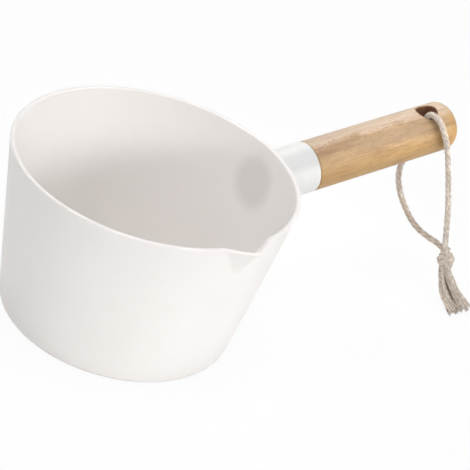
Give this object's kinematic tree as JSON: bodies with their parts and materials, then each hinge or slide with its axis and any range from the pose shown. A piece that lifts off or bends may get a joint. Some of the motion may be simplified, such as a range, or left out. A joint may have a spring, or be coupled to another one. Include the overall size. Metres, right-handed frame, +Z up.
{
  "type": "water dipper",
  "caption": "Round moulded cup with a pour lip, a white collar, a turned wooden handle with a hanging hole, and a knotted hanging cord with a frayed end.",
  "frame": {"origin": "centre of the cup's flat underside, on the surface that it stands on", "axes": "+Z up; +X towards the side of the cup that the handle leaves from; the pour lip is near -Y"},
  "size_m": [0.3042, 0.1669, 0.1147],
  "materials": {
    "cup_plastic": "matte warm white",
    "collar_plastic": "satin cool white",
    "handle_wood": "oiled light wood",
    "cotton_cord": "twisted undyed cotton"
  },
  "bodies": {
    "root": {"cup": "cup_plastic", "collar": "collar_plastic", "handle": "handle_wood", "hanging_cord": "cotton_cord", "cord_knot": "cotton_cord", "cord_tassel": "cotton_cord"}
  },
  "joints": []
}
